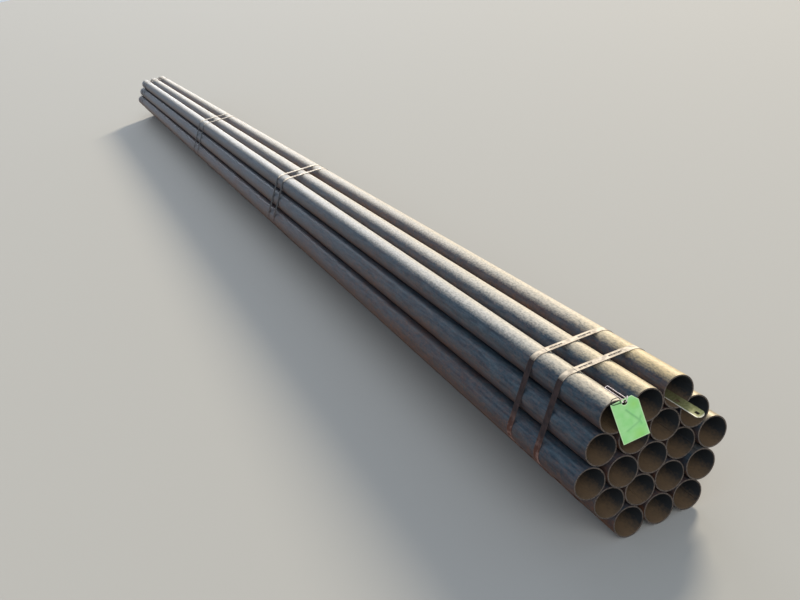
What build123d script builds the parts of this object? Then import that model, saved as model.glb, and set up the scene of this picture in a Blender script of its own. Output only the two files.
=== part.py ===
from build123d import *
import math
import os

# A hexagonal bundle of round iron pipes, tied with flat steel straps.
# X runs along the pipes, with the tagged end at +X. Z is up, and z = 0 is the
# underside of the straps, which the bundle lies on. All sizes are in millimetres.

# Pipes: 3 inch nominal bore, welded and square cut
pipe_od = 88.9
pipe_wall = 3.6
pipe_length = 9144.0
pipe_clearance = 0.3

# How far each pipe's end stands out of (+) or back from (-) the end plane,
# for the rows from the top down and the pipes of a row from -Y to +Y
end_shifts = {
    "top": (3.0, 9.0, 7.0),
    "upper": (-6.0, 1.0, 2.0, 0.0),
    "middle": (-3.0, 5.0, 0.0, -7.0, 3.0),
    "lower": (-3.0, -2.0, -3.0, 4.0),
    "bottom": (-1.0, 1.0, -2.0),
}

# Straps, in pairs: one pair near each end, and others at these shares of the pipes' length
strap_width = 25.0
strap_thickness = 0.8
strap_clearance = 0.3
end_pair_inset = 186.0
end_pair_spacing = 146.0
middle_pair_shares = (0.328, 0.585)
middle_pair_spacings = (110.0, 165.0)

# Joint of a strap: its two ends lie on each other and are locked by punched keys,
# in one group at each side of the middle pipe of the top row
lap_length = 150.0
key_length = 9.0
key_width = 2.4
key_pitch = 14.0
keys_in_group = 3
tongue_width = 4.0
tongue_height = 0.6

# Hanging tag: a card with one top corner cut off, in front of the first pipe of the top row.
# Its hole is placed from that pipe's crown, and it leans (tilt) and is turned (yaw) about the hole.
tag_width = 70.0
tag_height = 119.0
tag_thickness = 1.0
tag_cut_across = 13.5
tag_cut_down = 18.0
tag_hole_d = 14.0
tag_hole_drop = 9.7
tag_hole_side = 25.8
tag_hole_below_crown = 10.5
tag_standoff = 9.0
tag_tilt = 9.6
tag_yaw = 8.5

# Wire that holds the hanging tag: a hairpin along the shoulder of the first pipe,
# whose front ends go over the tag's edge and through its hole, one of them with an eye
wire_d = 2.0
wire_sides = 6
wire_clearance = 0.3
wire_bend = 1.8
hairpin_length = 74.0
hairpin_gap = 8.0
hairpin_angle = 36.0
hairpin_tilt = 17.0
eye_length = 23.0
eye_height = 17.0
eye_bend = 7.5
eye_side = 22.5
eye_above_hole = 10.9
hole_inset = 4.0

# Strip tag: a narrow slotted strip that lies in the bore of the last pipe of the top row
strip_width = 25.0
strip_thickness = 1.0
strip_length = 175.0
strip_overhang = 80.0
strip_turn = 12.0
slot_length = 17.0
slot_width = 7.0
slot_from_tip = 20.5
slot_pitch = 74.0
slot_count = 2

# Places that follow from the sizes above
row_names = tuple(end_shifts)
rings = len(row_names) // 2
pipe_radius = pipe_od / 2
bore_radius = pipe_radius - pipe_wall
pitch = pipe_od + pipe_clearance
row_rise = pitch * math.sqrt(3) / 2
strap_inner = pipe_radius + strap_clearance
strap_outer = strap_inner + strap_thickness
centre_z = rings * row_rise + strap_outer
deepest_shift = min(min(shifts) for shifts in end_shifts.values())
half_length = (pipe_length - deepest_shift + strip_overhang) / 2
end_x = half_length - strip_overhang
wire_radius = wire_d / 2


def strap_stations():
    """Distance of each strap from the tagged end, first to last."""
    near_pair = [end_pair_inset, end_pair_inset + end_pair_spacing]
    middle_pairs = []
    for share, spacing in zip(middle_pair_shares, middle_pair_spacings):
        middle_pairs.append(pipe_length * share - spacing / 2)
        middle_pairs.append(pipe_length * share + spacing / 2)
    far_pair = [pipe_length - station for station in reversed(near_pair)]
    return near_pair + middle_pairs + far_pair


def pipe_place(row, index):
    """Y and Z of a pipe's axis; index counts from 0 at the -Y side."""
    y = (index - (len(end_shifts[row]) - 1) / 2) * pitch
    z = centre_z + (rings - row_names.index(row)) * row_rise
    return y, z


def across(x):
    """A plane square to the pipes at x, with its own x along Y and its own y along Z."""
    return Plane(origin=(x, 0, 0), x_dir=(0, 1, 0), z_dir=(1, 0, 0))


def make_pipe(row, index):
    y, z = pipe_place(row, index)
    near_x = end_x + end_shifts[row][index]
    section = Pos(y, z) * (Circle(pipe_radius) - Circle(bore_radius))
    return extrude(across(near_x) * section, amount=-pipe_length)


def strap_outline(reach):
    """The line round the six corner pipes, this far out from their axes."""
    corners = RegularPolygon(radius=rings * pitch, side_count=6)
    return offset(corners, amount=reach, kind=Kind.ARC)


def make_strap(station):
    """One closed strap: its loop, the second layer of its lap, and the keys that lock the lap."""
    strap_x = end_x - station
    section = Pos(0, centre_z) * (strap_outline(strap_outer) - strap_outline(strap_inner))
    strap = extrude(across(strap_x) * section, amount=strap_width / 2, both=True)
    loop_top = centre_z + rings * row_rise + strap_outer
    lap_top = loop_top + strap_thickness
    standing = (Align.CENTER, Align.CENTER, Align.MIN)
    strap += Pos(strap_x, 0, loop_top) * Box(strap_width, lap_length, strap_thickness, align=standing)
    slot = Box(key_width, key_length, 4 * strap_thickness)
    tongue = Pos((key_width + tongue_width) / 2, 0, 0) * Box(
        tongue_width, key_length, tongue_height, align=standing
    )
    for group_y in (-pitch / 2, pitch / 2):
        for number in range(keys_in_group):
            key_y = group_y + (number - (keys_in_group - 1) / 2) * key_pitch
            place = Pos(strap_x, key_y, lap_top)
            strap = strap - place * slot + place * tongue
    return strap


def tag_hole_place():
    """Y and Z of the hanging tag's hole, just under the crown of the first pipe."""
    y, z = pipe_place("top", 0)
    return y + tag_hole_side, z + pipe_radius - tag_hole_below_crown


def make_green_tag():
    """Flat card drawn with its hole at the origin, then leaned, turned and hung at its place."""
    half = tag_width / 2
    top = tag_hole_drop
    low = top - tag_height
    outline = Polyline(
        (-half, low),
        (half, low),
        (half, top - tag_cut_down),
        (half - tag_cut_across, top),
        (-half, top),
        close=True,
    )
    card = extrude(make_face(outline) - Circle(tag_hole_d / 2), amount=tag_thickness)
    hole_y, hole_z = tag_hole_place()
    upright = across(end_x + tag_standoff) * Pos(hole_y, hole_z)
    return upright * Rot(0, -tag_yaw, 0) * Rot(0, 0, tag_tilt) * card


def make_tag_wire():
    """One wire: an eye in front of the tag, both strands of the hairpin, and its other end."""
    hole_y, hole_z = tag_hole_place()
    beside = wire_clearance + wire_radius
    card_slope = math.tan(math.radians(tag_yaw))
    edge_slope = math.tan(math.radians(tag_tilt))

    def in_front(y, z):
        return (end_x + tag_standoff + tag_thickness + beside + (y - hole_y) * card_slope, y, z)

    def behind(y, z):
        return (end_x + tag_standoff - beside + (y - hole_y) * card_slope, y, z)

    # The eye is an oval loop that starts beside the run from its lower side to the hole
    left_y = hole_y - eye_side - eye_length / 2
    right_y = left_y + eye_length
    low_z = hole_z + eye_above_hole - eye_height / 2
    high_z = low_z + eye_height

    # The first strand lies on the pipe's shoulder, and the other beside it
    y0, z0 = pipe_place("top", 0)
    first_y = y0 + (pipe_radius + beside) * math.sin(math.radians(hairpin_angle))
    first_z = z0 + (pipe_radius + beside) * math.cos(math.radians(hairpin_angle))
    other_y = first_y + hairpin_gap * math.cos(math.radians(hairpin_tilt))
    other_z = first_z + hairpin_gap * math.sin(math.radians(hairpin_tilt))
    over_z = hole_z + tag_hole_drop + (other_y - hole_y) * edge_slope + 2 * beside
    turn_x = end_x - hairpin_length
    strand_x = behind(hole_y, hole_z)[0] - wire_d

    route = [
        in_front(right_y, low_z + wire_d + wire_clearance),
        in_front(right_y, high_z),
        in_front(left_y, high_z),
        in_front(left_y, low_z),
        in_front(hole_y - hole_inset, low_z),
        behind(hole_y - hole_inset, low_z),
        (strand_x, first_y, first_z),
        (turn_x, first_y, first_z),
        (turn_x, other_y, other_z),
        (strand_x, other_y, other_z),
        behind(other_y, over_z),
        in_front(other_y, over_z),
        in_front(hole_y + hole_inset / 2, hole_z),
        behind(hole_y + hole_inset, hole_z),
    ]
    bends = [eye_bend] * 3 + [wire_bend] * (len(route) - 5)
    path = FilletPolyline(*route, radius=bends)
    section = Plane(origin=path @ 0, z_dir=path % 0) * RegularPolygon(wire_radius, wire_sides)
    return sweep(section, path=path)


def make_strip_tag():
    """Strip with rounded ends and slots, dished to the curve of the bore that it lies in."""
    y0, z0 = pipe_place("top", len(end_shifts["top"]) - 1)
    outer = bore_radius - pipe_clearance
    tip_x = end_x + strip_overhang
    blank = Pos(tip_x - strip_length / 2, 0) * SlotOverall(strip_length, strip_width)
    for number in range(slot_count):
        slot_x = tip_x - slot_from_tip - number * slot_pitch
        blank -= Pos(slot_x, 0) * SlotOverall(slot_length, slot_width)
    punched = extrude(Plane.XY.offset(-outer) * blank, amount=outer)
    ring = across(tip_x) * (Circle(outer) - Circle(outer - strip_thickness))
    strip = extrude(ring, amount=-strip_length) & punched
    return Pos(0, y0, z0) * Rot(strip_turn, 0, 0) * strip


os.makedirs("parts", exist_ok=True)

for row, shifts in end_shifts.items():
    for index in range(len(shifts)):
        export_step(make_pipe(row, index), f"parts/pipe_{row}_{index + 1}.step")

for number, station in enumerate(strap_stations(), start=1):
    export_step(make_strap(station), f"parts/strap_{number}.step")

export_step(make_green_tag(), "parts/green_tag.step")
export_step(make_tag_wire(), "parts/tag_wire.step")
export_step(make_strip_tag(), "parts/strip_tag.step")
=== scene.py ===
import math

import bpy
import bmesh
from mathutils import Matrix, Vector


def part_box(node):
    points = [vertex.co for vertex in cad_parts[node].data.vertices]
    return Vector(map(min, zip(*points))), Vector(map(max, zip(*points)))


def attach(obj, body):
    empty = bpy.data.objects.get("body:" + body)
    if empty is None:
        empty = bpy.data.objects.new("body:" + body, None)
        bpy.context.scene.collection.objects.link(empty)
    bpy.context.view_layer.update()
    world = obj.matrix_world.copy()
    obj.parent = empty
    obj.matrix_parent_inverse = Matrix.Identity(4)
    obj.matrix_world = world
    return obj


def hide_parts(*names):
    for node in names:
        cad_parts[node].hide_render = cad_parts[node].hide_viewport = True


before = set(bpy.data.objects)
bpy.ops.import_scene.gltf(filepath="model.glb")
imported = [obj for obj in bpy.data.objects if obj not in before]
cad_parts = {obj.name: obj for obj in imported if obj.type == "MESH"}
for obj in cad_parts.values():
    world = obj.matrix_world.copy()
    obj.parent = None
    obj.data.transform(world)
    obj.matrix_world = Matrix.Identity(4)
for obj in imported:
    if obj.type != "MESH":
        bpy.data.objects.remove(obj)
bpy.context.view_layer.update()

# Camera, floor and light. The camera stands at eye height beside the tagged end of the
# bundle, as the photograph's does. Two soft lamps beyond the far end give the crowns of the
# pipes their long highlights, a wide one lights the front, and the pale room fills the rest.
pipe_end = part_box("pipe_middle_3")[1].x
camera_from_end = Vector((1.6407, -1.0418, 0))
camera_height = 1.5418
camera_turn = 2.846
camera_dip = 0.396
camera_roll = -0.225
focal_length = 41.118
view_reach = 2000

sight = Vector((
    math.cos(camera_dip) * math.cos(camera_turn),
    math.cos(camera_dip) * math.sin(camera_turn),
    -math.sin(camera_dip),
))
level = Vector((math.sin(camera_turn), -math.cos(camera_turn), 0))
upright = level.cross(sight)
picture_x = math.cos(camera_roll) * level + math.sin(camera_roll) * upright
picture_y = math.cos(camera_roll) * upright - math.sin(camera_roll) * level
camera = bpy.data.objects.new("camera", bpy.data.cameras.new("camera"))
camera.data.lens = focal_length
camera.data.clip_end = view_reach
camera.matrix_world = Matrix.Translation(
    Vector((pipe_end, 0, camera_height)) + camera_from_end
) @ Matrix((picture_x, picture_y, -sight)).transposed().to_4x4()
bpy.context.scene.collection.objects.link(camera)
bpy.context.scene.camera = camera
bpy.context.scene.view_settings.view_transform = "Standard"


def colour(hex_code):
    """A colour written as sRGB hex, in the linear values that a node takes."""
    channels = [int(hex_code[at:at + 2], 16) / 255 for at in (1, 3, 5)]
    return (*[c / 12.92 if c <= 0.04045 else ((c + 0.055) / 1.055) ** 2.4 for c in channels], 1)


def add(tree, kind, inputs=None, **settings):
    """A new node with its settings, and with its inputs, which go by name or number.

    An input gets a value or a link. A node that is given for one is linked by the first of its
    outputs that is in use, and a list of nodes fills an input that takes several. By number, a
    Map Range turns its value, 0, from the span 1 to 2 into the span 3 to 4, and a colour Mix
    goes by its share, 0, from colour 6 to colour 7.
    """
    made = tree.nodes.new(kind)
    for name, value in settings.items():
        setattr(made, name, value)
    for key, given in (inputs or {}).items():
        for value in given if isinstance(given, list) else [given]:
            if isinstance(value, bpy.types.Node):
                value = next(socket for socket in value.outputs if socket.enabled)
            if isinstance(value, bpy.types.NodeSocket):
                tree.links.new(value, made.inputs[key])
            else:
                made.inputs[key].default_value = value
    return made


def new_material(name):
    """An empty material, and its node tree."""
    material = bpy.data.materials.new(name)
    material.use_nodes = True
    material.node_tree.nodes.clear()
    return material, material.node_tree


def surfaced(material, look):
    """The material, with its surface made from this look."""
    shader = add(material.node_tree, "ShaderNodeBsdfPrincipled", look)
    add(material.node_tree, "ShaderNodeOutputMaterial", {"Surface": shader})
    return material


floor_colour = "#aeaeaa"
floor_reach = 600
floor_material = surfaced(new_material("matt_studio_floor")[0], {
    "Base Color": colour(floor_colour), "Roughness": 0.9})
floor_mesh = bpy.data.meshes.new("floor")
floor_corners = [
    (x * floor_reach, y * floor_reach, 0) for x, y in ((-1, -1), (1, -1), (1, 1), (-1, 1))]
floor_mesh.from_pydata(floor_corners, [], [(0, 1, 2, 3)])
floor_mesh.materials.append(floor_material)
floor = bpy.data.objects.new("floor", floor_mesh)
bpy.context.scene.collection.objects.link(floor)

# The room is seen in one colour by the camera and in reflections, and lights with another
room_seen = "#cbd3de"
room_colour = "#cddaec"
room_light = 0.50
world = bpy.data.worlds.new("studio")
world.use_nodes = True
world.node_tree.nodes.clear()
bpy.context.scene.world = world
tree = world.node_tree
rays = add(tree, "ShaderNodeLightPath").outputs
seen = rays["Is Camera Ray"]
for ray in ("Is Glossy Ray", "Is Transmission Ray"):
    seen = add(tree, "ShaderNodeMath", {0: seen, 1: rays[ray]}, operation="MAXIMUM")
shown = add(tree, "ShaderNodeBackground", {"Color": colour(room_seen), "Strength": 1.0})
fill = add(tree, "ShaderNodeBackground", {"Color": colour(room_colour), "Strength": room_light})
mixed = add(tree, "ShaderNodeMixShader", {0: seen, 1: fill, 2: shown})
add(tree, "ShaderNodeOutputWorld", {"Surface": mixed})


def wide_lamp(name, energy, spread, tint, direction):
    """A lamp so wide and so far off that its soft light is even over the whole bundle."""
    lamp = bpy.data.lights.new(name, "SUN")
    lamp.energy = energy
    lamp.angle = math.radians(spread)
    lamp.color = colour(tint)[:3]
    holder = bpy.data.objects.new(name, lamp)
    holder.rotation_mode = "QUATERNION"
    holder.rotation_quaternion = Vector(direction).to_track_quat("-Z", "Y")
    bpy.context.scene.collection.objects.link(holder)


# The main light comes over the far right shoulder of the bundle, low enough to leave its
# left side in shade. A lower one along the pipes makes their crowns shine more the further
# off they are, and one from the front shows the bores and the tags.
wide_lamp("far_lamp", energy=3.7, spread=14, tint="#fff0d8", direction=(0.58, -0.68, -0.47))
wide_lamp("low_lamp", energy=0.7, spread=26, tint="#eef4ff", direction=(0.92, -0.25, -0.28))
wide_lamp("front_lamp", energy=1.5, spread=50, tint="#ffffff", direction=(-0.80, 0.10, -0.52))

# Pipes: nineteen lengths of welded steel tube, 89 mm across, as rolled and cut square, with
# a dark mill scale that has begun to rust. The strip was bent round and welded along one
# line, which leaves a low bead inside the bore.
row_counts = {"top": 3, "upper": 4, "middle": 5, "lower": 4, "bottom": 3}
pipe_names = [f"pipe_{row}_{n + 1}" for row, count in row_counts.items() for n in range(count)]
pipe_wall = 0.0036
pipe_sides = 96
edge_ease = 0.0005
ease_steps = 2
bead_height = 0.0014
bead_half_width = 0.0012
rim_slope = 0.3
# Where the weld lines of two pipes lie, in degrees from the underside towards -Y. The others
# lie anywhere, each turned this far from the one before. A bead is drawn only where a point
# of the ring is near enough to its line, so pipe_lower_4 has none.
bead_turns = {"pipe_lower_4": 208, "pipe_bottom_1": 250}
bead_spread = 137.5

# For each pipe: how rusty it is, from 0, bare scale, to 1, all rust; how warm its dust is; and how
# much pale dust and painted sunlight its crown takes
pipe_weather = {
    "pipe_top_1": (0.38, 0.32, 0.68),
    "pipe_top_2": (0.60, 0.56, 0.78),
    "pipe_top_3": (0.84, 0.70, 0.82),
    "pipe_upper_1": (0.50, 0.30, 0.0),
    "pipe_upper_4": (0.62, 0.80, 0.55),
    "pipe_middle_1": (0.68, 0.35, 0.0),
    "pipe_middle_5": (0.70, 0.70, 0.45),
    "pipe_lower_1": (0.78, 0.30, 0.0),
    "pipe_lower_4": (0.70, 0.50, 0.1),
    "pipe_bottom_1": (0.92, 0.50, 0.0),
}
usual_weather = (1.0, 0.45, 0.0)
# The sunward side of a pipe, where its painted sunlight falls, leans this far from its crown
# towards +Y
sunward_lean = math.radians(22)
# In metres from the tagged end: where the rust comes to its full share, and where tan dust
# gives way to paler dust
rust_grows = (0.1, 1.0)
tan_fades = (0.15, 0.50)

# Grains of the scale: each one's width over its length along the pipe, its width in metres, its
# detail and roughness as noise, and its share of the mottle
scale_grains = {
    "speckle": (0.45, 0.005, 3.0, 0.6, 0.36),
    "blotches": (0.45, 0.014, 4.0, 0.75, 0.30),
    "streaks": (0.10, 0.008, 3.0, 0.5, 0.10),
    "patches": (0.45, 0.160, 2.0, 0.5, 0.24),
}


def two_tone(tree, guide, start, end, dark, light):
    """A colour that goes from dark to light as its guide goes from start to end."""
    share = add(tree, "ShaderNodeMapRange", {0: guide, 1: start, 2: end})
    return add(tree, "ShaderNodeMix", {
        0: share, 6: colour(dark), 7: colour(light)}, data_type="RGBA")


def mill_scale():
    """Hot rolled tube: blue-grey oxide scale, a little metallic, so it darkens at the sides and
    glints along the crown. Brown rust blooms through it in fine streaks, more on the under side
    where wet stays, and the crowns are pale with dust and with painted sunlight on their sunward
    side."""
    material, tree = new_material("rusting_mill_scale_on_rolled_steel")
    place = add(tree, "ShaderNodeTexCoord").outputs["Object"]
    lift, open_side, from_end, rust_share, dust_warmth, sky_share = [
        add(tree, "ShaderNodeAttribute", attribute_name=name).outputs["Fac"]
        for name in ("lift", "open_side", "from_end", "rust_share", "dust_warmth", "sky_share")]
    grains = {}
    mottle = 0.0
    for name, (slimness, width, detail, coarse, weight) in scale_grains.items():
        drawn = add(tree, "ShaderNodeMapping", {"Vector": place, "Scale": (slimness, 1, 1)})
        grains[name] = add(tree, "ShaderNodeTexNoise", {
            "Vector": drawn, "Scale": 1 / width, "Detail": detail, "Roughness": coarse})
        mottle = add(tree, "ShaderNodeMath", {
            0: grains[name], 1: weight, 2: mottle}, operation="MULTIPLY_ADD")
    speckle, blotches = grains["speckle"], grains["blotches"]
    rust_colour = two_tone(tree, blotches, 0.25, 0.75, "#3b251b", "#754a2d")
    # There is less rust next to the tagged end, and more the lower it is on the pipe
    less_at_end = add(tree, "ShaderNodeMapRange", {
        0: from_end, 1: rust_grows[0], 2: rust_grows[1], 3: -0.17, 4: 0.0})
    more_below = add(tree, "ShaderNodeMapRange", {0: lift, 1: 0.75, 2: -0.35, 3: -0.42, 4: 0.36})
    rust_here = rust_share
    for change in (less_at_end, more_below):
        rust_here = add(tree, "ShaderNodeMath", {0: rust_here, 1: change}, operation="ADD")
    # It shows where the mottle passes a threshold, which falls as the rust goes on
    threshold = add(tree, "ShaderNodeMapRange", {0: rust_here, 3: 0.68, 4: 0.32})
    past = add(tree, "ShaderNodeMath", {0: mottle, 1: threshold}, operation="SUBTRACT")
    rust = add(tree, "ShaderNodeMapRange", {0: past, 1: -0.22, 2: 0.22})
    # The pale side, dust and painted sunlight, ends in a ragged, speckled border
    ragged = add(tree, "ShaderNodeMapRange", {0: mottle, 1: 0.35, 2: 0.65, 3: -0.09, 4: 0.09})
    ragged_side = add(tree, "ShaderNodeMath", {0: open_side, 1: ragged}, operation="ADD")
    # Painted sunlight and real dust: the crown is paled on its sunward side
    dust_and_sunlight = add(tree, "ShaderNodeMapRange", {0: ragged_side, 1: 0.50, 2: 0.86})
    worn_through = add(tree, "ShaderNodeMapRange", {0: speckle, 1: 0.36, 2: 0.50, 3: 0.80, 4: 1.0})
    for share in (worn_through, sky_share):
        dust_and_sunlight = add(tree, "ShaderNodeMath", {0: dust_and_sunlight, 1: share}, operation="MULTIPLY")
    # Its dust and painted sunlight are tan next to the tagged end, and paler beyond
    tan_share = add(tree, "ShaderNodeMapRange", {
        0: from_end, 1: tan_fades[0], 2: tan_fades[1], 3: 1.5, 4: 0.6})
    warm_share = add(tree, "ShaderNodeMath", {0: dust_warmth, 1: tan_share}, operation="MULTIPLY")
    dust_and_sunlit_colour = add(tree, "ShaderNodeMix", {
        0: warm_share, 6: colour("#cdcac2"), 7: colour("#c6b388")}, data_type="RGBA")
    # The rust lies on the scale, and the dust with its painted sunlight on both
    # The scale's blue is partly its own and partly a painted blue skylight, as on its shaded sides
    made = two_tone(tree, grains["streaks"], 0.30, 0.70, "#243341", "#445763")
    for cover, coat in ((rust, rust_colour), (dust_and_sunlight, dust_and_sunlit_colour)):
        made = add(tree, "ShaderNodeMix", {0: cover, 6: made, 7: coat}, data_type="RGBA")
    shade = add(tree, "ShaderNodeMapRange", {0: speckle, 1: 0.34, 2: 0.62, 3: 0.80, 4: 1.12})
    made = add(tree, "ShaderNodeVectorMath", {0: made, "Scale": shade}, operation="SCALE")
    # Rust and dust are dull; bare scale shines a little
    dull = add(tree, "ShaderNodeMath", {0: rust, 1: dust_and_sunlight}, operation="MAXIMUM")
    metallic = add(tree, "ShaderNodeMapRange", {0: dull, 3: 0.26, 4: 0.04})
    roughness = add(tree, "ShaderNodeMapRange", {0: dull, 3: 0.38, 4: 0.50})
    height = add(tree, "ShaderNodeMath", {0: speckle, 1: blotches}, operation="ADD")
    relief = add(tree, "ShaderNodeBump", {"Height": height, "Strength": 0.5, "Distance": 0.0006})
    return surfaced(material, {
        "Base Color": made, "Metallic": metallic, "Roughness": roughness,
        "Specular IOR Level": 0.2, "Normal": relief})


def bore_rust():
    """The inside of the tube: dark on its upper side towards +Y, as painted shade, and dry brown
    rust and dust along its lower side, in spots 6 mm wide."""
    material, tree = new_material("brown_rust_inside_bore")
    place = add(tree, "ShaderNodeTexCoord").outputs["Object"]
    open_side = add(tree, "ShaderNodeAttribute", attribute_name="open_side").outputs["Fac"]
    drawn = add(tree, "ShaderNodeMapping", {"Vector": place, "Scale": (0.6, 1, 1)})
    speckle = add(tree, "ShaderNodeTexNoise", {"Vector": drawn, "Scale": 1 / 0.006, "Detail": 3.0})
    uneven = add(tree, "ShaderNodeMapRange", {0: speckle, 1: 0.35, 2: 0.65, 3: -0.12, 4: 0.12})
    uneven_side = add(tree, "ShaderNodeMath", {0: open_side, 1: uneven}, operation="ADD")
    # Painted shade: dark on the sunward side of the bore, brown rust on the other
    rust_colour = two_tone(tree, uneven_side, -0.10, -0.82, "#22272b", "#6a563f")
    relief = add(tree, "ShaderNodeBump", {"Height": speckle, "Strength": 0.4, "Distance": 0.0005})
    return surfaced(material, {"Base Color": rust_colour, "Roughness": 0.85, "Normal": relief})


def cut_rim():
    """The saw-cut end of the wall: steel with a thin brown rust, lighter than its sides."""
    material, tree = new_material("saw_cut_steel_rim")
    place = add(tree, "ShaderNodeTexCoord").outputs["Object"]
    speckle = add(tree, "ShaderNodeTexNoise", {"Vector": place, "Scale": 1 / 0.004, "Detail": 3.0})
    rim_colour = two_tone(tree, speckle, 0.35, 0.65, "#37312d", "#655a52")
    return surfaced(material, {"Base Color": rim_colour, "Metallic": 0.3, "Roughness": 0.55})


def new_shape_tree(name, sizes, start=()):
    """An empty geometry tree that takes a starting shape, if one is named, and these sizes."""
    tree = bpy.data.node_groups.new(name, "GeometryNodeTree")
    for kind, labels in (("Geometry", start), ("Float", sizes)):
        for label in labels:
            tree.interface.new_socket(
                name=label, in_out="INPUT", socket_type="NodeSocket" + kind)
    tree.interface.new_socket(name="Geometry", in_out="OUTPUT", socket_type="NodeSocketGeometry")
    return tree, add(tree, "NodeGroupInput").outputs


def swept_flat(tree, path, thickness, width, ease, capped=False):
    """A flat section with eased corners, swept along a path and standing across it."""
    section = add(tree, "GeometryNodeCurvePrimitiveQuadrilateral", {0: thickness, 1: width})
    eased = add(tree, "GeometryNodeFilletCurve", {
        "Curve": section, "Radius": ease, "Count": ease_steps}, mode="POLY")
    upright_path = add(tree, "GeometryNodeSetCurveNormal", {"Curve": path}, mode="Z_UP")
    return add(tree, "GeometryNodeCurveToMesh", {
        "Curve": upright_path, "Profile Curve": eased, "Fill Caps": capped})


def finished_shape(tree, made, material, sharp_from=math.radians(18)):
    """The shape in its material, without instances, and shaded smooth but for the edges that
    turn by more than this."""
    turn = add(tree, "GeometryNodeInputMeshEdgeAngle")
    sharp = add(tree, "FunctionNodeCompare", {0: turn, 1: sharp_from}, operation="GREATER_THAN")
    made = add(tree, "GeometryNodeStoreNamedAttribute", {
        "Geometry": made, "Name": "sharp_edge", "Value": sharp}, data_type="BOOLEAN", domain="EDGE")
    made = add(tree, "GeometryNodeSetShadeSmooth", {"Geometry": made})
    made = add(tree, "GeometryNodeRealizeInstances", {"Geometry": made})
    return add(tree, "GeometryNodeSetMaterial", {"Geometry": made, "Material": material})


def pipe_tree(outside, bore, rim):
    """Geometry nodes for one pipe: its wall section swept round a ring, laid along X."""
    tree, size = new_shape_tree("pipe", (
        "Radius", "Wall", "Length", "Ease", "Bead", "Bead Turn", "Near X", "Y", "Z",
        "Rust", "Warmth", "Sky"))
    half_wall = add(tree, "ShaderNodeMath", {0: size["Wall"], 1: 0.5}, operation="MULTIPLY")
    middle = add(tree, "ShaderNodeMath", {0: size["Radius"], 1: half_wall}, operation="SUBTRACT")
    ring = add(tree, "GeometryNodeCurvePrimitiveCircle", {
        "Resolution": pipe_sides, "Radius": middle})
    tube = swept_flat(tree, ring, size["Wall"], size["Length"], size["Ease"])
    # The weld bead: the bore's points on the weld line stand inwards
    here = add(tree, "GeometryNodeInputPosition")
    across = add(tree, "ShaderNodeVectorMath", {0: here, 1: (1, 1, 0)}, operation="MULTIPLY")
    off_axis = add(tree, "ShaderNodeVectorMath", {0: across}, operation="LENGTH")
    turned = add(tree, "ShaderNodeVectorRotate", {
        "Vector": across, "Angle": size["Bead Turn"]}, rotation_type="Z_AXIS")
    parts = add(tree, "ShaderNodeSeparateXYZ", {0: turned}).outputs
    on_bead = add(tree, "FunctionNodeCompare", {
        0: parts["Y"], 1: 0.0, "Epsilon": bead_half_width}, operation="EQUAL")
    on_side = add(tree, "FunctionNodeCompare", {0: parts["X"], 1: 0.0}, operation="GREATER_THAN")
    in_bore = add(tree, "FunctionNodeCompare", {0: off_axis, 1: middle}, operation="LESS_THAN")
    for test in (on_side, in_bore):
        on_bead = add(tree, "FunctionNodeBooleanMath", {0: on_bead, 1: test}, operation="AND")
    inward = add(tree, "ShaderNodeVectorMath", {0: across}, operation="NORMALIZE")
    depth = add(tree, "ShaderNodeMath", {0: size["Bead"], 1: -1.0}, operation="MULTIPLY")
    step = add(tree, "ShaderNodeVectorMath", {0: inward, "Scale": depth}, operation="SCALE")
    beaded = add(tree, "GeometryNodeSetPosition", {
        "Geometry": tube, "Selection": on_bead, "Offset": step})
    # The ring stands across Z, so it is turned to lie along X and moved to its axis
    half_length = add(tree, "ShaderNodeMath", {0: size["Length"], 1: 0.5}, operation="MULTIPLY")
    centre_x = add(tree, "ShaderNodeMath", {
        0: size["Near X"], 1: half_length}, operation="SUBTRACT")
    centre = add(tree, "ShaderNodeCombineXYZ", {0: centre_x, 1: size["Y"], 2: size["Z"]})
    made = add(tree, "GeometryNodeTransform", {
        "Geometry": beaded, "Translation": centre, "Rotation": (0, math.pi / 2, 0)})
    # How high each point is, from -1 on the far side of the axis to 1: from under the pipe to its
    # crown, and along a line that leans to its sunward side
    from_centre = add(tree, "ShaderNodeVectorMath", {0: here, 1: centre}, operation="SUBTRACT")
    kept = {"rust_share": size["Rust"], "dust_warmth": size["Warmth"], "sky_share": size["Sky"]}
    for name, lean in (("lift", 0.0), ("open_side", sunward_lean)):
        height = add(tree, "ShaderNodeVectorMath", {
            0: from_centre, 1: (0, math.sin(lean), math.cos(lean))}, operation="DOT_PRODUCT")
        kept[name] = add(tree, "ShaderNodeMath", {0: height, 1: size["Radius"]}, operation="DIVIDE")
    along = add(tree, "ShaderNodeSeparateXYZ", {0: here}).outputs["X"]
    kept["from_end"] = add(tree, "ShaderNodeMath", {
        0: size["Near X"], 1: along}, operation="SUBTRACT")
    for name, value in kept.items():
        made = add(tree, "GeometryNodeStoreNamedAttribute", {
            "Geometry": made, "Name": name, "Value": value}, data_type="FLOAT", domain="POINT")
    made = finished_shape(tree, made, outside)
    # The bore's faces look towards the axis, and the rims look along it
    facing = add(tree, "GeometryNodeInputNormal")
    sideways = add(tree, "ShaderNodeVectorMath", {
        0: from_centre, 1: (0, 1, 1)}, operation="MULTIPLY")
    outward = add(tree, "ShaderNodeVectorMath", {0: facing, 1: sideways}, operation="DOT_PRODUCT")
    looks_in = add(tree, "FunctionNodeCompare", {0: outward, 1: 0.0}, operation="LESS_THAN")
    slope = add(tree, "ShaderNodeSeparateXYZ", {0: facing}).outputs["X"]
    steep = add(tree, "ShaderNodeMath", {0: slope}, operation="ABSOLUTE")
    on_rim = add(tree, "FunctionNodeCompare", {0: steep, 1: rim_slope}, operation="GREATER_THAN")
    for faces, material in ((looks_in, bore), (on_rim, rim)):
        made = add(tree, "GeometryNodeSetMaterial", {
            "Geometry": made, "Selection": faces, "Material": material})
    add(tree, "NodeGroupOutput", {0: made})
    return tree


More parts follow.
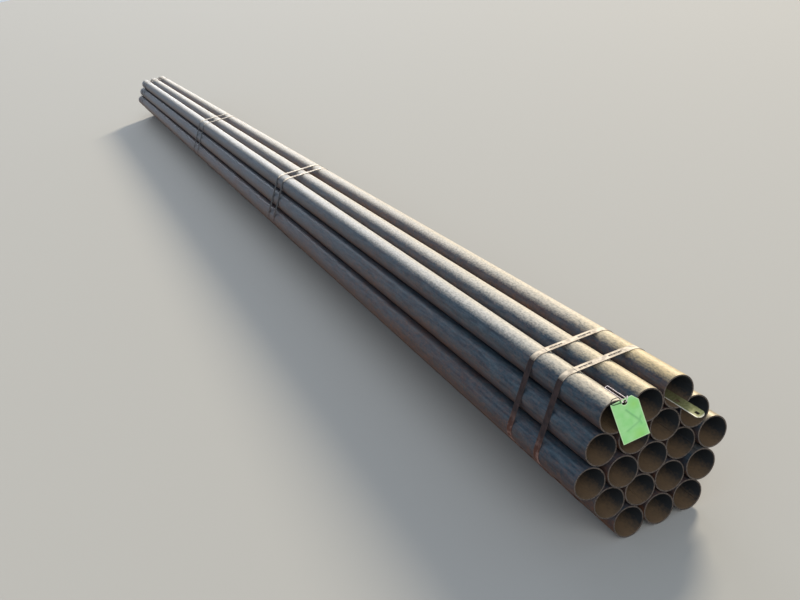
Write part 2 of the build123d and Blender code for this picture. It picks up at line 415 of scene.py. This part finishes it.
def plain_mesh(holder):
    """The same object with the shape that its modifiers gave it, and no modifiers."""
    evaluated = holder.evaluated_get(bpy.context.evaluated_depsgraph_get())
    mesh = bpy.data.meshes.new_from_object(evaluated)
    holder.modifiers.clear()
    # A primitive brings an empty material slot with it
    for slot in reversed(range(len(mesh.materials))):
        if mesh.materials[slot] is None:
            mesh.materials.pop(index=slot)
    mesh.name = holder.name
    holder.data = mesh
    return holder


def from_nodes(name, tree, sizes, start=None):
    """The plain object that a geometry tree makes from these sizes, and from a mesh to start."""
    holder = bpy.data.objects.new(name, start or bpy.data.meshes.new(name))
    bpy.context.scene.collection.objects.link(holder)
    modifier = holder.modifiers.new("shape", "NODES")
    modifier.node_group = tree
    sockets = {item.name: item for item in tree.interface.items_tree if item.in_out == "INPUT"}
    for label, value in sizes.items():
        modifier[sockets[label].identifier] = value
    return plain_mesh(holder)


def axis_and_radius(name):
    """Y and Z of a pipe's axis, and its outer radius."""
    low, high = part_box(name)
    return (low.y + high.y) / 2, (low.z + high.z) / 2, (high.z - low.z) / 2


tree_of_pipe = pipe_tree(mill_scale(), bore_rust(), cut_rim())
for index, name in enumerate(pipe_names):
    low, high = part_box(name)
    axis_y, axis_z, radius = axis_and_radius(name)
    rust_share, dust_warmth, sky_share = pipe_weather.get(name, usual_weather)
    pipe = from_nodes(name + "_rolled", tree_of_pipe, {
        "Radius": radius,
        "Wall": pipe_wall,
        "Length": high.x - low.x,
        "Ease": edge_ease,
        "Bead": bead_height,
        "Bead Turn": math.radians(bead_turns.get(name, bead_spread * index)),
        "Near X": high.x,
        "Y": axis_y,
        "Z": axis_z,
        "Rust": rust_share,
        "Warmth": dust_warmth,
        "Sky": sky_share,
    })
    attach(pipe, "root")
    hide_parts(name)

# Straps: eight bands of 25 mm steel strapping pulled tight round the bundle in pairs. The two
# ends of a band lie on each other over the top row, where a tensioner punched two groups of
# small keys through both layers, so that no seal was needed.
strap_thickness = 0.0008
strap_ease = 0.0003
strap_corners = 6
corner_steps = 14
lap_length = 0.150
lap_cuts = 24
key_length = 0.009
key_width = 0.0024
key_pitch = 0.014
keys_in_group = 3
punch_depth = 5 * strap_thickness
tongue_width = 0.004
tongue_height = 0.0006
# How far the rust of each pair of bands has gone: the pair beside the tags is the rustiest
pair_rust = (0.85, 0.4, 0.35, 0.5)
# In metres: the heights between which the wet low half comes in, how far from the middle line the
# pale edge comes in, worn and partly a painted highlight, how ragged that edge is, and how far past
# a key its painted shade fades
wet_height = (0.26, 0.19)
pale_edge_span = (0.0085, 0.0115)
edge_ragged = 0.0015
key_shade_fades = (0.0012, 0.0026)


def strapping_steel(group_y):
    """Cold rolled strapping with its blue finish rusted through: brown rust in blotches, pale along
    the edges, which are worn and partly a painted highlight, paler on top with bleached dust and
    painted sunlight, and darker round the punched keys, as painted shade."""
    material, tree = new_material("rusted_steel_strapping")
    place = add(tree, "ShaderNodeTexCoord").outputs["Object"]
    spot = add(tree, "ShaderNodeSeparateXYZ", {0: place}).outputs
    rust_share, centre_x, top_side = [
        add(tree, "ShaderNodeAttribute", attribute_name=name).outputs["Fac"]
        for name in ("rust_share", "centre_x", "top_side")]
    blotches = add(tree, "ShaderNodeTexNoise", {"Vector": place, "Scale": 1 / 0.016, "Detail": 4.0})
    speckle = add(tree, "ShaderNodeTexNoise", {"Vector": place, "Scale": 1 / 0.004, "Detail": 2.0})
    rust_colour = two_tone(tree, blotches, 0.34, 0.66, "#241d20", "#3b2d2c")
    bare = add(tree, "ShaderNodeMath", {0: 1.0, 1: rust_share}, operation="SUBTRACT")
    ragged = add(tree, "ShaderNodeMath", {0: speckle, 1: bare}, operation="SUBTRACT")
    rust = add(tree, "ShaderNodeMapRange", {0: ragged, 1: 0.0, 2: 0.2})
    # The low half stays wet longer, so its rust is further on and lighter
    flake_colour = two_tone(tree, blotches, 0.44, 0.62, "#6b4130", "#a88478")
    wet = add(tree, "ShaderNodeMapRange", {0: spot["Z"], 1: wet_height[0], 2: wet_height[1]})
    flaked = add(tree, "ShaderNodeMath", {0: wet, 1: rust_share}, operation="MULTIPLY")
    # The top is paler in patches: bleached dust, and painted sunlight on the faces that look up
    patchy = add(tree, "ShaderNodeMapRange", {0: blotches, 1: 0.38, 2: 0.58, 3: 0.55, 4: 1.0})
    dust_and_sunlight = add(tree, "ShaderNodeMath", {0: top_side, 1: patchy}, operation="MULTIPLY")
    # How far each point is from the middle line of the band
    beside_line = add(tree, "ShaderNodeMath", {0: spot["X"], 1: centre_x}, operation="SUBTRACT")
    off_line = add(tree, "ShaderNodeMath", {0: beside_line}, operation="ABSOLUTE")
    uneven = add(tree, "ShaderNodeMapRange", {
        0: speckle, 1: 0.3, 2: 0.7, 3: -edge_ragged, 4: edge_ragged})
    uneven_edge = add(tree, "ShaderNodeMath", {0: off_line, 1: uneven}, operation="ADD")
    edge = add(tree, "ShaderNodeMapRange", {0: uneven_edge, 1: pale_edge_span[0], 2: pale_edge_span[1]})
    # The pale edge is mostly on the top, where it is partly a painted highlight
    lit_edge_share = add(tree, "ShaderNodeMapRange", {0: top_side, 3: 0.02, 4: 0.75})
    worn_and_highlit_edge = add(tree, "ShaderNodeMath", {0: edge, 1: lit_edge_share}, operation="MULTIPLY")
    # Painted shade round each key, darkening its slots: the keys of a group repeat along Y, so the
    # distance to one is folded
    either_side = add(tree, "ShaderNodeMath", {0: spot["Y"]}, operation="ABSOLUTE")
    in_group = add(tree, "ShaderNodeMath", {0: either_side, 1: group_y}, operation="SUBTRACT")
    along_key = add(tree, "ShaderNodeMath", {0: in_group, 1: key_pitch / 2}, operation="PINGPONG")
    past_end, past_side = [
        add(tree, "ShaderNodeMath", {0: off_middle, 1: size / 2}, operation="SUBTRACT")
        for off_middle, size in ((along_key, key_length), (off_line, key_width))]
    past_key = add(tree, "ShaderNodeMath", {0: past_end, 1: past_side}, operation="MAXIMUM")
    shade_near_key = add(tree, "ShaderNodeMapRange", {
        0: past_key, 1: key_shade_fades[0], 2: key_shade_fades[1], 3: 0.96, 4: 0.0})
    off_group = add(tree, "ShaderNodeMath", {0: in_group}, operation="ABSOLUTE")
    near_keys = add(tree, "ShaderNodeMath", {
        0: off_group, 1: keys_in_group * key_pitch / 2}, operation="LESS_THAN")
    painted_key_shade = add(tree, "ShaderNodeMath", {0: shade_near_key, 1: near_keys}, operation="MULTIPLY")
    made = two_tone(tree, blotches, 0.34, 0.66, "#1f2023", "#3e3f42")
    for cover, coat in (
            (rust, rust_colour), (flaked, flake_colour), (dust_and_sunlight, colour("#f0e2cc")),
            (worn_and_highlit_edge, colour("#d2c2ac")), (painted_key_shade, colour("#241a15"))):
        made = add(tree, "ShaderNodeMix", {0: cover, 6: made, 7: coat}, data_type="RGBA")
    metallic = add(tree, "ShaderNodeMapRange", {0: rust, 3: 0.4, 4: 0.05})
    roughness = add(tree, "ShaderNodeMapRange", {0: rust, 3: 0.55, 4: 0.7})
    relief = add(tree, "ShaderNodeBump", {"Height": speckle, "Strength": 0.4, "Distance": 0.0003})
    return surfaced(material, {
        "Base Color": made, "Metallic": metallic, "Roughness": roughness,
        "Specular IOR Level": 0.2, "Normal": relief})


def set_out(tree, points, piece):
    """One of the pieces at each of the points."""
    pieces = add(tree, "GeometryNodeInstanceOnPoints", {"Points": points, "Instance": piece})
    return add(tree, "GeometryNodeRealizeInstances", {"Geometry": pieces})


def strap_tree(steel):
    """Geometry nodes for one strap: a flat section swept round the hexagon of corner pipes,
    a second layer over the top, and slots and tongues for the keys."""
    tree, size = new_shape_tree("strap", (
        "Width", "Thickness", "Reach", "Corner Distance", "X", "Z", "Lap Length", "Lap Z",
        "Group Y", "Rust"))
    # Round the corners the band turns on an arc about the corner pipe's axis
    outset = add(tree, "ShaderNodeMath", {
        0: size["Reach"], 1: math.cos(math.pi / strap_corners)}, operation="DIVIDE")
    corner_radius = add(tree, "ShaderNodeMath", {
        0: size["Corner Distance"], 1: outset}, operation="ADD")
    hexagon = add(tree, "GeometryNodeCurvePrimitiveCircle", {
        "Resolution": strap_corners, "Radius": corner_radius})
    loop = add(tree, "GeometryNodeFilletCurve", {
        "Curve": hexagon, "Radius": size["Reach"], "Count": corner_steps}, mode="POLY")
    band = swept_flat(tree, loop, size["Thickness"], size["Width"], strap_ease)
    centre = add(tree, "ShaderNodeCombineXYZ", {0: size["X"], 2: size["Z"]})
    standing = add(tree, "GeometryNodeTransform", {
        "Geometry": band, "Translation": centre, "Rotation": (math.pi / 2, 0, math.pi / 2)})
    # The second layer lies on the first
    layer_size = add(tree, "ShaderNodeCombineXYZ", {
        0: size["Width"], 1: size["Lap Length"], 2: size["Thickness"]})
    layer = add(tree, "GeometryNodeMeshCube", {"Size": layer_size, "Vertices Y": lap_cuts})
    layer_place = add(tree, "ShaderNodeCombineXYZ", {0: size["X"], 2: size["Lap Z"]})
    lying = add(tree, "GeometryNodeTransform", {"Geometry": layer, "Translation": layer_place})
    layers = add(tree, "GeometryNodeJoinGeometry", {0: [standing, lying]})
    # Places of the keys: a row of points for each group
    first = -(keys_in_group - 1) / 2 * key_pitch
    row = add(tree, "GeometryNodeMeshLine", {
        "Count": keys_in_group, "Start Location": (0, first, 0),
        "Offset": (0, key_pitch, 0)}, mode="OFFSET")
    groups = []
    for side in (-1, 1):
        group_y = add(tree, "ShaderNodeMath", {0: size["Group Y"], 1: side}, operation="MULTIPLY")
        place = add(tree, "ShaderNodeCombineXYZ", {0: size["X"], 1: group_y, 2: size["Lap Z"]})
        groups.append(add(tree, "GeometryNodeTransform", {"Geometry": row, "Translation": place}))
    key_points = add(tree, "GeometryNodeJoinGeometry", {0: groups})
    punch = add(tree, "GeometryNodeMeshCube", {"Size": (key_width, key_length, punch_depth)})
    punched = add(tree, "GeometryNodeMeshBoolean", {
        0: layers, 1: set_out(tree, key_points, punch)}, operation="DIFFERENCE", solver="EXACT")
    tongue = add(tree, "GeometryNodeMeshCube", {"Size": (tongue_width, key_length, tongue_height)})
    beside_key = ((key_width + tongue_width) / 2, 0, (strap_thickness + tongue_height) / 2)
    raised = add(tree, "GeometryNodeTransform", {"Geometry": tongue, "Translation": beside_key})
    made = add(tree, "GeometryNodeJoinGeometry", {0: [punched, set_out(tree, key_points, raised)]})
    facing = add(tree, "GeometryNodeInputNormal")
    up = add(tree, "ShaderNodeSeparateXYZ", {0: facing}).outputs["Z"]
    top_side = add(tree, "ShaderNodeMapRange", {0: up, 1: 0.72, 2: 0.93})
    for name, value in (
            ("rust_share", size["Rust"]), ("centre_x", size["X"]), ("top_side", top_side)):
        made = add(tree, "GeometryNodeStoreNamedAttribute", {
            "Geometry": made, "Name": name, "Value": value}, data_type="FLOAT", domain="FACE")
    add(tree, "NodeGroupOutput", {0: finished_shape(tree, made, steel)})
    return tree


corner_distance, axis_height = axis_and_radius("pipe_middle_5")[:2]
bottom_axis = axis_and_radius("pipe_bottom_1")[1]
pipe_pitch = corner_distance / 2
tree_of_strap = strap_tree(strapping_steel(pipe_pitch / 2))
for number in range(2 * len(pair_rust)):
    name = f"strap_{number + 1}"
    low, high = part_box(name)
    band_top = 2 * axis_height - low.z
    strap = from_nodes(name + "_band", tree_of_strap, {
        "Width": high.x - low.x,
        "Thickness": strap_thickness,
        "Reach": bottom_axis - low.z - strap_thickness / 2,
        "Corner Distance": corner_distance,
        "X": (low.x + high.x) / 2,
        "Z": axis_height,
        "Lap Length": lap_length,
        "Lap Z": band_top + strap_thickness / 2,
        "Group Y": pipe_pitch / 2,
        "Rust": pair_rust[number // 2],
    })
    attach(strap, "root")
    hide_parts(name)

# Green tag: a shipping tag of mint green synthetic card, 70 by 119 mm. It hangs by the wire
# through its hole in front of the first pipe of the top row, leaning and turned a little, and
# it has been bent: two creases cross near its right edge.
tag_width = 0.070
tag_height = 0.119
tag_thickness = 0.001
tag_cut = (0.0135, 0.018)
tag_hole_radius = 0.007
tag_hole_drop = 0.0097
tag_hole_side = 0.0258
tag_hole_below_crown = 0.0105
tag_standoff = 0.009
tag_tilt = math.radians(9.6)
tag_yaw = math.radians(8.5)
tag_rings = 44
tag_spokes = 132
tag_ease = 0.0002
# Two creases, each in two runs between places measured from the hole, and their heights
full_crease, faint_crease = 0.0009, 0.0007
crease_width = 0.0022
tag_creases = [
    ((-0.003, -0.020), (0.022, -0.063), full_crease),
    ((0.022, -0.063), (0.024, -0.073), faint_crease),
    ((0.027, -0.053), (0.018, -0.066), full_crease),
    ((0.018, -0.066), (-0.016, -0.077), faint_crease),
]
# The card curls forward towards its foot: how far, how much more on its right, and how far
# below the hole the curl begins
tag_curl = 0.004
curl_lean = 0.5
curl_start = 0.02
# Yellower casts lie beside the hole and along the foot: their middles and how far they reach
yellow_casts = [((0.020, -0.014, 0), 0.017), ((0.012, -0.098, 0), 0.024)]
# How far from a cut edge its paleness begins to fade, and ends
pale_fades = (0.0006, 0.0030)


def green_card():
    """Coated synthetic paper: smooth, a little waxy, mint green with two yellower casts, paler
    along its cut edges and round the hole, and darker along the creases, as painted shade."""
    material, tree = new_material("mint_green_synthetic_card")
    place = add(tree, "ShaderNodeTexCoord").outputs["Object"]
    spot = add(tree, "ShaderNodeAttribute", attribute_name="card_spot").outputs["Vector"]
    rim, fold = [
        add(tree, "ShaderNodeAttribute", attribute_name=name).outputs["Fac"]
        for name in ("card_rim", "card_fold")]
    clouds = add(tree, "ShaderNodeTexNoise", {"Vector": place, "Scale": 1 / 0.022, "Detail": 3.0})
    # The fibres of a real card are finer, and are drawn coarser so that they show
    fibres = add(tree, "ShaderNodeTexNoise", {"Vector": place, "Scale": 1 / 0.0012, "Detail": 2.0})
    made = two_tone(tree, clouds, 0.35, 0.65, "#93dc86", "#a5e297")
    coats = []
    for centre, reach in yellow_casts:
        away = add(tree, "ShaderNodeVectorMath", {0: spot, 1: centre}, operation="DISTANCE")
        cast = add(tree, "ShaderNodeMapRange", {0: away, 1: 0.0, 2: reach, 3: 0.75, 4: 0.0})
        coats.append((cast, "#93d765"))
    # Painted shade along the creases, as deep as their fold
    painted_crease_shade = add(tree, "ShaderNodeMapRange", {0: fold, 3: 0.0, 4: 0.40})
    pale = add(tree, "ShaderNodeMapRange", {
        0: rim, 1: pale_fades[0], 2: pale_fades[1], 3: 0.75, 4: 0.0})
    for cover, coat in [*coats, (painted_crease_shade, "#4f8a63"), (pale, "#d2f0bd")]:
        made = add(tree, "ShaderNodeMix", {0: cover, 6: made, 7: colour(coat)}, data_type="RGBA")
    relief = add(tree, "ShaderNodeBump", {"Height": fibres, "Strength": 0.15, "Distance": 0.0002})
    return surfaced(material, {"Base Color": made, "Roughness": 0.48, "Normal": relief})


first_y, first_z, first_radius = axis_and_radius("pipe_top_1")
hole_y = first_y + tag_hole_side
hole_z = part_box("pipe_top_1")[1].z - tag_hole_below_crown
# The card is drawn in its own plane, with the hole at the origin. There its x is the bundle's
# Y and its y is up, and it is leaned and turned about the hole before it is hung at its place.
hung = (
    Matrix.Translation((pipe_end + tag_standoff, hole_y, hole_z))
    @ Matrix(((0, 0, 1, 0), (1, 0, 0, 0), (0, 1, 0, 0), (0, 0, 0, 1)))
    @ Matrix.Rotation(-tag_yaw, 4, "Y")
    @ Matrix.Rotation(tag_tilt, 4, "Z")
)
half = tag_width / 2
foot = tag_hole_drop - tag_height
card_corners = [Vector(corner) for corner in (
    (-half, foot), (half, foot), (half, tag_hole_drop - tag_cut[1]),
    (half - tag_cut[0], tag_hole_drop), (-half, tag_hole_drop))]
card_sides = list(zip(card_corners, card_corners[1:] + card_corners[:1]))
spoke_turns = sorted(
    [math.tau * n / tag_spokes for n in range(tag_spokes)]
    + [math.atan2(corner.y, corner.x) % math.tau for corner in card_corners])


def gap_to_line(point, start, end):
    """How far a point is from the line between two others."""
    run = end - start
    share = max(0.0, min(1.0, (point - start).dot(run) / run.length_squared))
    return (point - start - share * run).length


def card_edge(turn, parallel=1e-12, slack=1e-9):
    """Where a line from the hole's centre in this direction meets the card's outline."""
    way = Vector((math.cos(turn), math.sin(turn)))
    reaches = []
    for start, end in card_sides:
        run = end - start
        cross = way.x * run.y - way.y * run.x
        if abs(cross) > parallel:
            reach = (start.x * run.y - start.y * run.x) / cross
            share = (start.x * way.y - start.y * way.x) / cross
            if reach > 0 and -slack <= share <= 1 + slack:
                reaches.append(reach)
    return min(reaches) * way


card = bmesh.new()
spot_layer = card.verts.layers.float_vector.new("card_spot")
rim_layer = card.verts.layers.float.new("card_rim")
fold_layer = card.verts.layers.float.new("card_fold")
spokes = []
for turn in spoke_turns:
    inner = tag_hole_radius * Vector((math.cos(turn), math.sin(turn)))
    outer = card_edge(turn)
    spoke = []
    for ring in range(tag_rings + 1):
        spot = inner.lerp(outer, ring / tag_rings)
        fold = max(
            height * math.exp(-(gap_to_line(spot, Vector(start), Vector(end)) / crease_width) ** 2)
            for start, end, height in tag_creases)
        below = (spot.x * curl_lean - spot.y - curl_start) / tag_height
        curl = tag_curl * max(0.0, below) ** 2
        vertex = card.verts.new((spot.x, spot.y, fold + curl))
        vertex[spot_layer] = (spot.x, spot.y, 0)
        vertex[rim_layer] = min(
            min(gap_to_line(spot, start, end) for start, end in card_sides),
            spot.length - tag_hole_radius)
        vertex[fold_layer] = fold / full_crease
        spoke.append(vertex)
    spokes.append(spoke)
for spoke, following in zip(spokes, spokes[1:] + spokes[:1]):
    for ring in range(tag_rings):
        corners = spoke[ring:ring + 2] + following[ring:ring + 2][::-1]
        card.faces.new(corners).smooth = True
card.transform(hung)
card_mesh = bpy.data.meshes.new("green_tag_card")
card.to_mesh(card_mesh)
card.free()
card_mesh.materials.append(green_card())
green_tag = bpy.data.objects.new("green_tag_card", card_mesh)
bpy.context.scene.collection.objects.link(green_tag)
thick = green_tag.modifiers.new("thickness", "SOLIDIFY")
thick.thickness = tag_thickness
thick.offset = 1
eased_edges = green_tag.modifiers.new("eased_edges", "BEVEL")
eased_edges.width = tag_ease
eased_edges.limit_method = "ANGLE"
plain_mesh(green_tag)
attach(green_tag, "root")
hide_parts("green_tag")

# Tag wire: one length of bright 2 mm soft steel wire, bent by hand. It has an eye in front of
# the tag, passes through the hole, runs back along the pipe's shoulder and forward again as
# a hairpin, and comes over the top edge of the tag into the hole.
wire_radius = 0.001
wire_sides = 14
wire_clearance = 0.0003
wire_bend = 0.0018
bend_steps = 10
hairpin_length = 0.074
hairpin_gap = 0.008
hairpin_angle = math.radians(36)
hairpin_tilt = math.radians(17)
eye_length = 0.023
eye_height = 0.017
eye_bend = 0.0075
eye_side = 0.0225
eye_above_hole = 0.0109
hole_inset = 0.004
# How far to the side of the hole the wire's painted shade begins, and is as dark as over its eye
eye_shade_span = (0.005, 0.011)


def tie_wire():
    """Annealed wire with a thin zinc coat: bright grey metal with a faint violet cast, duller in
    patches, and darkened over its eye in front of the card, as painted shade."""
    material, tree = new_material("galvanised_soft_wire")
    place = add(tree, "ShaderNodeTexCoord").outputs["Object"]
    across = add(tree, "ShaderNodeSeparateXYZ", {0: place}).outputs["Y"]
    patches = add(tree, "ShaderNodeTexNoise", {"Vector": place, "Scale": 1 / 0.006, "Detail": 2.0})
    coat_colour = two_tone(tree, patches, 0.35, 0.65, "#c9bcbe", "#f2e6e8")
    # Painted shade over the eye in front of the card
    painted_eye_shade = add(tree, "ShaderNodeMapRange", {
        0: across, 1: hole_y - eye_shade_span[0], 2: hole_y - eye_shade_span[1]})
    wire_colour = add(tree, "ShaderNodeMix", {
        0: painted_eye_shade, 6: coat_colour, 7: colour("#243026")}, data_type="RGBA")
    roughness = add(tree, "ShaderNodeMapRange", {0: patches, 3: 0.5, 4: 0.28})
    return surfaced(material, {
        "Base Color": wire_colour, "Metallic": 0.15, "Roughness": roughness})


def wire_tree(metal):
    """Geometry nodes that bend a route of straight runs at its corners, and sweep a round
    section along it."""
    tree, size = new_shape_tree("wire", ("Wire Radius",), start=("Route",))
    bend = add(tree, "GeometryNodeInputNamedAttribute", {"Name": "bend"}, data_type="FLOAT")
    line = add(tree, "GeometryNodeMeshToCurve", {"Mesh": size["Route"]})
    bent = add(tree, "GeometryNodeFilletCurve", {
        "Curve": line, "Radius": bend, "Count": bend_steps}, mode="POLY")
    section = add(tree, "GeometryNodeCurvePrimitiveCircle", {
        "Resolution": wire_sides, "Radius": size["Wire Radius"]})
    made = add(tree, "GeometryNodeCurveToMesh", {
        "Curve": bent, "Profile Curve": section, "Fill Caps": True})
    add(tree, "NodeGroupOutput", {0: finished_shape(tree, made, metal, sharp_from=math.pi)})
    return tree


beside = wire_clearance + wire_radius


def in_front(y, z):
    """A place for the wire's middle, clear of the card's front."""
    face_x = pipe_end + tag_standoff + tag_thickness + beside
    return Vector((face_x + (y - hole_y) * math.tan(tag_yaw), y, z))


def behind(y, z):
    """A place for the wire's middle, clear of the card's back."""
    face_x = pipe_end + tag_standoff - beside
    return Vector((face_x + (y - hole_y) * math.tan(tag_yaw), y, z))


eye_left = hole_y - eye_side - eye_length / 2
eye_right = eye_left + eye_length
eye_low = hole_z + eye_above_hole - eye_height / 2
eye_high = eye_low + eye_height
strand_y = first_y + (first_radius + beside) * math.sin(hairpin_angle)
strand_z = first_z + (first_radius + beside) * math.cos(hairpin_angle)
other_y = strand_y + hairpin_gap * math.cos(hairpin_tilt)
other_z = strand_z + hairpin_gap * math.sin(hairpin_tilt)
over_z = hole_z + tag_hole_drop + (other_y - hole_y) * math.tan(tag_tilt) + 2 * beside
turn_x = pipe_end - hairpin_length
strand_x = behind(hole_y, hole_z).x - 2 * wire_radius
# Each point of the wire with the radius of its bend there
wire_route = [
    (in_front(eye_right, eye_low + 2 * wire_radius + wire_clearance), 0),
    (in_front(eye_right, eye_high), eye_bend),
    (in_front(eye_left, eye_high), eye_bend),
    (in_front(eye_left, eye_low), eye_bend),
    (in_front(hole_y - hole_inset, eye_low), wire_bend),
    (behind(hole_y - hole_inset, eye_low), wire_bend),
    (Vector((strand_x, strand_y, strand_z)), wire_bend),
    (Vector((turn_x, strand_y, strand_z)), wire_bend),
    (Vector((turn_x, other_y, other_z)), wire_bend),
    (Vector((strand_x, other_y, other_z)), wire_bend),
    (behind(other_y, over_z), wire_bend),
    (in_front(other_y, over_z), wire_bend),
    (in_front(hole_y + hole_inset / 2, hole_z), wire_bend),
    (behind(hole_y + hole_inset, hole_z), 0),
]
route_mesh = bpy.data.meshes.new("tag_wire_route")
route_mesh.from_pydata(
    [point for point, bend in wire_route], [(n, n + 1) for n in range(len(wire_route) - 1)], [])
bends = route_mesh.attributes.new("bend", "FLOAT", "POINT")
bends.data.foreach_set("value", [bend for point, bend in wire_route])
tag_wire = from_nodes(
    "tag_wire_bent", wire_tree(tie_wire()), {"Wire Radius": wire_radius}, start=route_mesh)
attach(tag_wire, "root")
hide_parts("tag_wire")

# Strip tag: a 25 mm strip of olive moulded plastic with rounded ends and two slots, curved
# across to fit the bore of the last pipe of the top row, where it lies with its tip out.
strip_width = 0.025
strip_thickness = 0.001
strip_length = 0.175
strip_ease = 0.0003
strip_turn = math.radians(12)
slot_length = 0.017
slot_width = 0.007
slot_from_tip = 0.0205
slot_pitch = 0.074
slot_count = 2
bore_clearance = 0.0003
# The strip is cut out of a slightly wider sheet
half_sheet = strip_width * 0.54
sheet_points = 28
round_sides = 40
cutter_depth = 0.2
# In metres from the tip: where its painted highlight fades, and where the painted shade of the bore
# comes in
tip_highlight_fades = (0.001, 0.007)
bore_shade_grows = (0.035, 0.105)


def olive_plastic():
    """Moulded polyethylene: matt olive, with a painted highlight at its tip and along its edge
    towards -Y, and darker and browner further into the bore, as painted shade."""
    material, tree = new_material("olive_moulded_plastic")
    place = add(tree, "ShaderNodeTexCoord").outputs["Object"]
    edge_share, from_tip = [
        add(tree, "ShaderNodeAttribute", attribute_name=name).outputs["Fac"]
        for name in ("edge_share", "from_tip")]
    clouds = add(tree, "ShaderNodeTexNoise", {"Vector": place, "Scale": 1 / 0.007, "Detail": 3.0})
    made = two_tone(tree, clouds, 0.35, 0.65, "#7f8250", "#a0a274")
    # Painted shade of the bore: darker and browner further in
    painted_bore_shade = add(tree, "ShaderNodeMapRange", {
        0: from_tip, 1: bore_shade_grows[0], 2: bore_shade_grows[1], 3: 0.0, 4: 0.65})
    tip = add(tree, "ShaderNodeMapRange", {
        0: from_tip, 1: tip_highlight_fades[0], 2: tip_highlight_fades[1], 3: 0.8, 4: 0.0})
    edge = add(tree, "ShaderNodeMapRange", {0: edge_share, 1: 0.74, 2: 0.86, 3: 0.0, 4: 0.95})
    # Painted highlight on the tip and along the edge towards -Y
    painted_highlight = add(tree, "ShaderNodeMath", {0: tip, 1: edge}, operation="MAXIMUM")
    for cover, coat in ((painted_bore_shade, "#45402c"), (painted_highlight, "#e9e7d8")):
        made = add(tree, "ShaderNodeMix", {0: cover, 6: made, 7: colour(coat)}, data_type="RGBA")
    return surfaced(material, {"Base Color": made, "Roughness": 0.5})


def rounded_bar(tree, bar_length, bar_width):
    """A bar along X with half-round ends: the hull of the two round posts at its ends."""
    reach = (bar_length - bar_width) / 2
    ends = add(tree, "GeometryNodeMeshLine", {
        "Count": 2, "Start Location": (-reach, 0, 0), "Offset": (2 * reach, 0, 0)}, mode="OFFSET")
    post = add(tree, "GeometryNodeMeshCylinder", {
        "Vertices": round_sides, "Radius": bar_width / 2, "Depth": cutter_depth})
    return add(tree, "GeometryNodeConvexHull", {"Geometry": set_out(tree, ends, post)})


def strip_tree(plastic):
    """Geometry nodes for the strip: a flat section swept on an arc, cut to a rounded outline
    and slotted."""
    tree, size = new_shape_tree("strip", ("Outer Radius", "Turn", "Tip X", "Y", "Z"))
    middle = add(tree, "ShaderNodeMath", {
        0: size["Outer Radius"], 1: strip_thickness / 2}, operation="SUBTRACT")
    half_sweep = add(tree, "ShaderNodeMath", {
        0: half_sheet, 1: size["Outer Radius"]}, operation="DIVIDE")
    start, sweep = [
        add(tree, "ShaderNodeMath", {0: half_sweep, 1: times}, operation="MULTIPLY")
        for times in (-1.0, 2.0)]
    arc = add(tree, "GeometryNodeCurveArc", {
        "Resolution": sheet_points, "Radius": middle,
        "Start Angle": start, "Sweep Angle": sweep}, mode="RADIUS")
    sheet = swept_flat(tree, arc, strip_thickness, strip_length, strip_ease, capped=True)
    # The arc's middle points along X, so it is turned to point down, with the strip along X
    dished = add(tree, "GeometryNodeTransform", {
        "Geometry": sheet, "Rotation": (0, math.pi / 2, 0)})
    outline = rounded_bar(tree, strip_length, strip_width)
    cut_out = add(tree, "GeometryNodeMeshBoolean", {
        1: [dished, outline]}, operation="INTERSECT", solver="EXACT")
    slot_places = add(tree, "GeometryNodeMeshLine", {
        "Count": slot_count, "Start Location": (strip_length / 2 - slot_from_tip, 0, 0),
        "Offset": (-slot_pitch, 0, 0)}, mode="OFFSET")
    slots = set_out(tree, slot_places, rounded_bar(tree, slot_length, slot_width))
    made = add(tree, "GeometryNodeMeshBoolean", {
        0: cut_out, 1: slots}, operation="DIFFERENCE", solver="EXACT")
    here = add(tree, "GeometryNodeInputPosition")
    at = add(tree, "ShaderNodeSeparateXYZ", {0: here}).outputs
    edge_share = add(tree, "ShaderNodeMath", {0: at["Y"], 1: -strip_width / 2}, operation="DIVIDE")
    from_tip = add(tree, "ShaderNodeMath", {0: strip_length / 2, 1: at["X"]}, operation="SUBTRACT")
    for name, value in (("edge_share", edge_share), ("from_tip", from_tip)):
        made = add(tree, "GeometryNodeStoreNamedAttribute", {
            "Geometry": made, "Name": name, "Value": value}, data_type="FLOAT", domain="POINT")
    centre_x = add(tree, "ShaderNodeMath", {
        0: size["Tip X"], 1: strip_length / 2}, operation="SUBTRACT")
    centre = add(tree, "ShaderNodeCombineXYZ", {0: centre_x, 1: size["Y"], 2: size["Z"]})
    turn = add(tree, "ShaderNodeCombineXYZ", {0: size["Turn"]})
    made = add(tree, "GeometryNodeTransform", {
        "Geometry": made, "Translation": centre, "Rotation": turn})
    add(tree, "NodeGroupOutput", {0: finished_shape(tree, made, plastic)})
    return tree


last_y, last_z, last_radius = axis_and_radius("pipe_top_3")
strip_tag = from_nodes("strip_tag_moulded", strip_tree(olive_plastic()), {
    "Outer Radius": last_radius - pipe_wall - bore_clearance,
    "Turn": strip_turn,
    "Tip X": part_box("strip_tag")[1].x,
    "Y": last_y,
    "Z": last_z,
})
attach(strip_tag, "root")
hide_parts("strip_tag")
